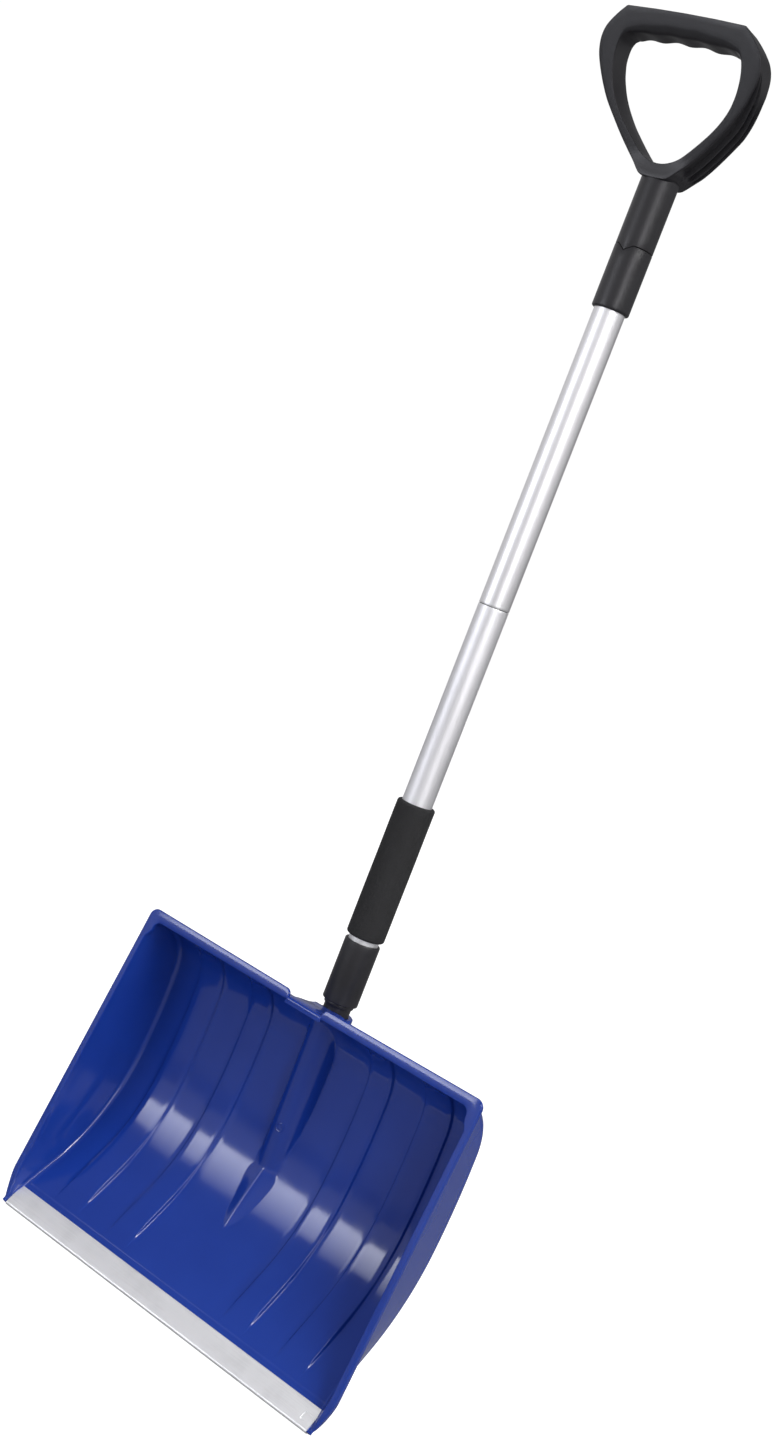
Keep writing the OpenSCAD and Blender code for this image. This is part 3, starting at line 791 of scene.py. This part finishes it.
def keyed(name, plain, vee, after=()):
    """A turned outline whose vee points drop in a V at the front, between the plain points."""
    a = key_angles()
    drop = KEY_DEPTH * (np.sin(a) < 0) * np.clip(1 - np.abs(KEY_R * np.cos(a)) / KEY_HALF, 0, 1)
    rings = []
    for outline, on in ((plain, 0), (vee, 1), (after, 0)):
        rings += [np.stack([r * np.cos(a), r * np.sin(a), z - drop * on], -1) for r, z in outline]
    return hoop_mesh(name, np.array(rings).transpose(1, 0, 2))


def upper_collar():
    lo, hi = node_box("upper_collar")
    r, z0, top = (hi[0] - lo[0]) / 2, lo[2], KEY_SEAM - 0.35
    body = [(TUBE_SEAT, z0 + 0.4), (15.4, z0), (r - 1.6, z0), (r - 0.7, z0 + 0.4), (r - 0.15, z0 + 1.3)]
    body += [(r, z0 + up) for up in (2.4, 8, 20, 35, 46)]
    seam = [(r, top - 0.7), (r - 0.2, top - 0.2), (r - 0.7, top), (15.3, top), (TUBE_SEAT, top - 0.3)]
    return keyed("collar_upper", body, seam)


dress_collar(upper_collar(), "upper_collar", 18.0)


def spigot():
    """The thin black tube between the scoop and the lower collar, with its flange and button hole."""
    lo, hi = node_box("blade_spigot")
    z0, z1 = lo[2], hi[2]
    flange_z = float(node_box("lower_collar")[0][2])
    bore, r, flange_r = 10.95, 13.35, 14.8
    outline = [(bore, z0 + 0.8), (11.6, z0), (12.4, z0), (r, z0 + 1.2)]
    outline += [(r, z) for z in np.linspace(z0 + 10, flange_z - 6.5, 12)]
    outline += [(13.5, flange_z - 4.0), (14.4, flange_z - 3.6)]
    outline += [(flange_r, flange_z - 3.0), (flange_r, flange_z - 0.5), (14.5, flange_z - 0.06)]
    outline += [(PLUG_R, flange_z - 0.06), (PLUG_R, z1 - 1), (12.9, z1), (bore, z1)]
    return union("spigot", lathe("spigot", outline), [], [cylinder_y("hole", blade_z, 4.08, 5, 30)])


dress(spigot(), "black", "black_plastic", "blade_spigot")


# ---------------------------------------------------------------- D grip

# The D is worked out in x and h, the height above its foot. OUTER and INNER are its right side's
# outlines, which the left side mirrors.
GRIP_Z = 1125.1
GRIP_SLOPE = math.tan(math.radians(21.8))
FACE_Y, FACE_FOOT, FACE_BEND = -18.4, 18.2, 3
BACK_Y = 18.0
OUTER = [
    (0, 2), (8, 2.3), (14, 3.2), (18.5, 6.6), (24.5, 12.6), (33, 20.5), (43, 30.8), (54, 43.5), (64.5, 56.5),
    (72, 68.8), (77.8, 80.8), (81.5, 91), (82.6, 99.5), (81.8, 107), (78.9, 114), (74, 120.2), (67.5, 126.6),
    (60.8, 132.2)]
INNER = [
    (0, 15.4), (6, 16), (13, 18.2), (21, 22.6), (29.5, 29.8), (39.5, 39.4), (48.3, 48.8), (55.8, 59),
    (61, 69.2), (63.8, 79.9), (64.6, 89), (64.4, 96), (63.4, 102.2), (61.6, 107.2), (58.4, 111.2)]
EYE = np.array((0.0, 70.0))


def face_y(h):
    """The front of the D, leaning forward from its foot."""
    return FACE_Y - GRIP_SLOPE * FACE_BEND * np.logaddexp(0, (h - FACE_FOOT) / FACE_BEND)


def depth_at(h):
    """The D's thickness, front to back."""
    heights = [0, FACE_FOOT, 30, 43, 56, 66, 75, 84, 94]
    return np.interp(h, heights, [36.3, 36.3, 35.8, 35.6, 35.2, 33.3, 30.8, 28, 26])


def fingers(x, depth):
    """The bar's underside, with finger scallops of the given depth."""
    wave = depth * np.cos(2 * np.pi * x / 28.5) * ramp(x, 57, 47)
    return 116.2 - 2.6 * (x / 50) ** 2 - wave


def loop_points(half):
    """A closed outline from its right half."""
    mirror = half[::-1] * np.array((-1, 1))
    return np.vstack([half, mirror[1:-1]])


def outer_loop():
    side = catmull(OUTER)
    xs = np.linspace(59.6, 0, 40)
    top = np.column_stack([xs, np.interp(xs, [0, 30, 59.6], [133.7, 133.4, 132.5])])
    return loop_points(np.vstack([side, top]))


def inner_loop(depth):
    side = catmull(INNER)
    xs = np.linspace(54.5, 0, 64)
    return loop_points(np.vstack([side, np.column_stack([xs, fingers(xs, depth)])]))


def reach(loop, angles):
    """Distance from EYE to the closed outline in each direction."""
    p = loop - EYE
    q = np.roll(p, -1, 0)
    out = []
    for a in angles:
        d = np.array((math.cos(a), math.sin(a)))
        cross_p = d[0] * p[:, 1] - d[1] * p[:, 0]
        cross_q = d[0] * q[:, 1] - d[1] * q[:, 0]
        hit = (cross_p * cross_q <= 0) & (cross_p != cross_q)
        t = cross_p[hit] / (cross_p[hit] - cross_q[hit])
        point = p[hit] + (q[hit] - p[hit]) * t[:, None]
        far = point @ d
        out.append(far[far > 0].min())
    return np.array(out)


def web(k, h):
    """Where web k of the two between the arm's grooves runs, as a share of the arm's thickness."""
    share = ((0.5, 0.5, 0.46, 0.36, 0.24, 0.1), (0.8, 0.79, 0.75, 0.62, 0.42, 0.2))[k]
    return float(np.interp(h, [8, 40, 64, 82, 92, 102], share))


def rounded(radius):
    """Set back and drop of the points round a convex edge, from the face to the wall."""
    a = np.radians(np.linspace(0, 88, 5))
    return [(radius * (1 - math.sin(t)), radius * (1 - math.cos(t))) for t in a]


def groove_side(h, side_x, thick):
    """Share of thickness and depth for the points down the outside of the D, back to front."""
    arm = float(ramp(abs(side_x), 19, 26) * ramp(h, 7, 14) * ramp(h, 128, 110))
    low_web, high_web, half = web(0, h), web(1, h), 0.03
    # Each groove's ends as shares of the thickness, the height where it runs out, and its depth.
    bands = ((high_web + half, 0.94, 84, 4.6), (low_web + half, high_web - half, 100, 5.4))
    bands += ((0.06, low_web - half, 100, 4.6),)
    out = []
    for lo, hi, top, deep in bands:
        g = deep * arm * float(ramp(h, top + 3, top - 14))
        hi = max(hi, lo + 0.02)
        w = hi - lo
        wall = min(0.03, 0.25 * w)
        edge = rounded(min(0.6, 0.3 * g))
        out += [(hi + back / thick, drop) for back, drop in edge]
        out += [(hi - 0.6 * wall, 0.9 * g), (hi - wall - 0.1 * w, g)]
        out += [(lo + wall + 0.1 * w, g), (lo + 0.6 * wall, 0.9 * g)]
        out += [(lo - back / thick, drop) for back, drop in edge[::-1]]
    return out


def grip_loop():
    """The D: a section of the arm or bar at each angle about EYE."""
    front_scallop, back_scallop = 0.3, 0.8
    front_r, back_r = 0.8, 1.3
    angles = np.linspace(0, 2 * np.pi, 480, endpoint=False) - np.pi / 2
    ro = reach(outer_loop(), angles)
    near, far = (reach(inner_loop(depth), angles) for depth in (front_scallop, back_scallop))
    rings = []
    for k, a in enumerate(angles):
        d = np.array((math.cos(a), math.sin(a)))
        outer = EYE + d * ro[k]
        thick = float(depth_at(outer[1]))
        bar = float(ramp(math.sin(a), 0.45, 0.8))
        soft, heel = 1.0 + 5.5 * bar, 1.2 + 3.3 * bar
        section = []
        for t in np.radians(np.linspace(0, 90, 9)):
            section.append((near[k] + soft * (1 - math.sin(t)), soft * (1 - math.cos(t)) / thick))
        for share in np.linspace(soft / thick, 1 - heel / thick, 7)[1:-1]:
            belly = 1.2 * (1 - bar) * math.sin(math.pi * share)
            section.append((near[k] + (far[k] - near[k]) * share - belly, share))
        for t in np.radians(np.linspace(90, 0, 8)):
            section.append((far[k] + heel * (1 - math.sin(t)), 1 - heel * (1 - math.cos(t)) / thick))
        inner_back, r = section[-1][0], back_r
        section += [(inner_back + (ro[k] - r - inner_back) * t, 1.0) for t in (0.33, 0.66)]
        section += [(ro[k] - r, 1.0), (ro[k] - 0.3 * r, 1 - 0.3 * r / thick), (ro[k], 1 - r / thick)]
        section += [(ro[k] - g, share) for share, g in groove_side(outer[1], outer[0], thick)]
        section += [(ro[k] - drop, back / thick) for back, drop in rounded(front_r)]
        inner_front = section[0][0]
        section += [(inner_front + (ro[k] - front_r - inner_front) * t, 0.0) for t in (0.66, 0.33)]
        section = np.array(section)
        x, h = (EYE + d * section[:, :1]).T
        front = face_y(h)
        back = np.minimum(front + depth_at(h), BACK_Y)
        rings.append(np.stack([x, front + (back - front) * section[:, 1], GRIP_Z + h], -1))
    return hoop_mesh("grip", rings)


def grip_neck():
    """The neck, down to the V seam of the upper collar, and the plug inside the upper tube."""
    r, shoulder, z0 = 17.95, 14.9, KEY_SEAM
    foot = z0 - 61
    plug = [(PLUG_R, foot), (PLUG_R, z0 - 5.9), (shoulder, z0 - 5.9)]
    seam = [(shoulder, z0 - 0.1), (r - 0.6, z0), (r - 0.15, z0 + 0.2), (r, z0 + 0.7)]
    neck = [(r, z) for z in (z0 + 8, z0 + 20, z0 + 35, z0 + 50, GRIP_Z + 2, GRIP_Z + 5)]
    neck += [(r - 3, GRIP_Z + 8), (0.01, GRIP_Z + 9), (0.01, foot)]
    return keyed("neck", plug, seam, neck)


shank = cylinder_y("shank", node_middle("upper_collar_screw")[2], SHANK_R, 8, 20, 24)
grip = union("grip", grip_loop(), [grip_neck()], [shank], sharp_deg=38)
dress(grip, "black", "black_plastic", "d_grip")


# ---------------------------------------------------------------- leaf springs

# Half width, thickness, length of the leg away from the button, and radius of the legs' round tips.
LEAF_HALF, LEAF_T, FAR_LEG, TIP = 4.0, 0.8, 38.0, 2.0


def leaf_half(from_tip):
    """Half width of a leg near its rounded tip."""
    short = max(0.0, TIP - from_tip)
    return LEAF_HALF - TIP + math.sqrt(TIP**2 - short**2)


def leaf_spring(name, node):
    """The bent leaf behind a button, in one fixed shape; the real leaf closes up towards its far leg as the
    button goes in.
    """
    lo, hi = node_box(node)
    far, near = lo[1] - AXIS_Y, hi[1] - AXIS_Y
    middle, turn = (near + far) / 2, (near - far - LEAF_T) / 2
    bend = lo[2] + (near - far) / 2
    tips = np.array([0.02, 0.15, 0.4, 0.8, 1.3, 2.0])
    # y from the leaf's middle, height, and distance from the leg's tip.
    path = [(-turn, bend + FAR_LEG - d, d) for d in [*tips, *np.linspace(5, FAR_LEG - 2, 12)]]
    path += [(-turn * math.cos(a), bend - turn * math.sin(a), TIP) for a in np.linspace(0, np.pi, 28)]
    near_leg = hi[2] - bend
    path += [(turn, hi[2] - d, d) for d in [*np.linspace(near_leg - 2, 5, 14), *tips[::-1]]]
    line = np.array([(y, z) for y, z, _ in path])
    along = np.gradient(line, axis=0)
    along /= np.linalg.norm(along, axis=1)[:, None]
    rings, r = [], 0.2
    for (y, z, d), (ty, tz) in zip(path, along):
        u, v = leaf_half(d) - r, LEAF_T / 2 - r
        section = corner(u, v, r, 0, 4) + corner(-u, v, r, 90, 4)
        section += corner(-u, -v, r, 180, 4) + corner(u, -v, r, 270, 4)
        rings.append([(p, middle + y - tz * q, z + ty * q) for p, q in section])
    leaf = dress(rod_mesh(name, rings), "spring", "spring_steel", node)
    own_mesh(leaf)


leaf_spring("leaf_blade", "blade_button_spring")
leaf_spring("leaf_middle", "middle_button_spring")


# ---------------------------------------------------------------- CAD pieces that stay

KEPT = {
    "tube_connector": ("black", "black_plastic"),
    "blade_button": ("zinc", "button_metal"),
    "middle_button": ("zinc", "button_metal"),
    "lower_collar_screw": ("zinc", "screw_metal"),
    "upper_collar_screw": ("zinc", "screw_metal"),
}
for name, (material, slot) in KEPT.items():
    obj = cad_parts[name]
    obj.data.materials.clear()
    obj.data.materials.append(MATS[material])
    bevel = obj.modifiers.new("edges", "BEVEL")
    bevel.width = 0.15 * MM
    bevel.segments = 2
    bevel.limit_method = "ANGLE"


# ---------------------------------------------------------------- stage and light


def make_floor():
    """A pale floor that shows white to the camera."""
    mesh = bpy.data.meshes.new("floor")
    half = 6.0
    corners = [(-half, -half, 0), (half, -half, 0), (half, half, 0), (-half, half, 0)]
    mesh.from_pydata(corners, [], [(0, 1, 2, 3)])
    floor = bpy.data.objects.new("floor", mesh)
    bpy.context.scene.collection.objects.link(floor)
    m = Nodes("floor_white")
    seen = m.add("ShaderNodeLightPath").outputs["Is Camera Ray"]
    m.set(Base_Color=(0.32, 0.32, 0.325, 1), Roughness=0.7, Emission_Color=(1, 1, 1, 1))
    m.set(Emission_Strength=m.remap(seen, 0.03, 1.0))
    floor.data.materials.append(m.mat)


def softbox(
    name, turn, rise, reach, size, power, target=(0, 0, 0.15), tint=(1, 1, 1), fade=1.0, spread=180
):
    """An area light at an azimuth and elevation about target, facing it, fading to fade at its top."""
    a, e = math.radians(turn), math.radians(rise)
    away = Vector((math.sin(a) * math.cos(e), -math.cos(a) * math.cos(e), math.sin(e)))
    data = bpy.data.lights.new(name, "AREA")
    data.shape = "RECTANGLE"
    data.size, data.size_y = size
    data.energy = power
    data.color = tint
    data.spread = math.radians(spread)
    data.use_nodes = True
    tree = data.node_tree
    place = tree.nodes.new("ShaderNodeNewGeometry").outputs["Parametric"]
    part = tree.nodes.new("ShaderNodeSeparateXYZ")
    tree.links.new(place, part.inputs["Vector"])
    level = tree.nodes.new("ShaderNodeMapRange")
    tree.links.new(part.outputs["Y"], level.inputs["Value"])
    level.inputs["To Min"].default_value = 1.0
    level.inputs["To Max"].default_value = fade
    tree.links.new(level.outputs["Result"], tree.nodes["Emission"].inputs["Strength"])
    lamp = bpy.data.objects.new(name, data)
    lamp.location = Vector(target) + away * reach
    lamp.rotation_mode = "QUATERNION"
    lamp.rotation_quaternion = away.to_track_quat("Z", "Y")
    bpy.context.scene.collection.objects.link(lamp)


def make_world():
    """White to the camera, and a grey room for the light that falls on the object."""
    world = bpy.data.worlds.new("studio")
    world.use_nodes = True
    tree = world.node_tree
    back = tree.nodes["Background"]
    at = tree.nodes.new("ShaderNodeTexCoord").outputs["Generated"]
    parts = tree.nodes.new("ShaderNodeSeparateXYZ")
    tree.links.new(at, parts.inputs["Vector"])

    def level(axis, a, b, lo, hi):
        """lo to hi as the direction's axis goes from a to b."""
        made = tree.nodes.new("ShaderNodeMapRange")
        tree.links.new(parts.outputs[axis], made.inputs["Value"])
        for socket, value in (("From Min", a), ("From Max", b), ("To Min", lo), ("To Max", hi)):
            made.inputs[socket].default_value = value
        return made.outputs["Result"]

    def times(a, b):
        made = tree.nodes.new("ShaderNodeMath")
        made.operation = "MULTIPLY"
        tree.links.new(a, made.inputs[0])
        tree.links.new(b, made.inputs[1])
        return made.outputs["Value"]

    def choose(kind, a, b):
        """a for the light that falls on the object, b for what the camera sees."""
        made = tree.nodes.new("ShaderNodeMix")
        made.data_type = kind
        tree.links.new(path, made.inputs["Factor"])
        slots = [s for s in made.inputs if s.enabled and s.name in ("A", "B")]
        for socket, value in zip(slots, (a, b)):
            if isinstance(value, bpy.types.NodeSocket):
                tree.links.new(value, socket)
            else:
                socket.default_value = value
        return next(s for s in made.outputs if s.enabled)

    path = tree.nodes.new("ShaderNodeLightPath").outputs["Is Camera Ray"]
    height = level("Z", 0.25, 0.6, 0.74, 0.28)
    sides = level("Y", -0.6, 0.1, 1.0, 0.85)
    rear = level("Y", 0.65, 0.93, 1.0, 0.4)
    room = times(times(height, sides), rear)
    tree.links.new(choose("FLOAT", room, 1.02), back.inputs["Strength"])
    tree.links.new(choose("RGBA", (0.98, 0.97, 1.0, 1), (1, 1, 1, 1)), back.inputs["Color"])
    bpy.context.scene.world = world


make_floor()
make_world()
softbox("key", -29, 21, 2.4, (0.9, 0.85), 21, tint=(0.90, 0.92, 1.0), fade=0.1)
softbox("flank", 75, 44, 2.6, (1.4, 0.5), 4.2, (0, 0, 0.08), spread=50)
softbox("side", 53, 18, 3.0, (0.8, 1.5), 20, (0, 0, 0.6), tint=(0.97, 0.96, 1.0))
softbox("top", -20, 78, 3.2, (2.0, 1.6), 24, (0, 0, 0.6))
bpy.context.scene.view_settings.view_transform = "Standard"
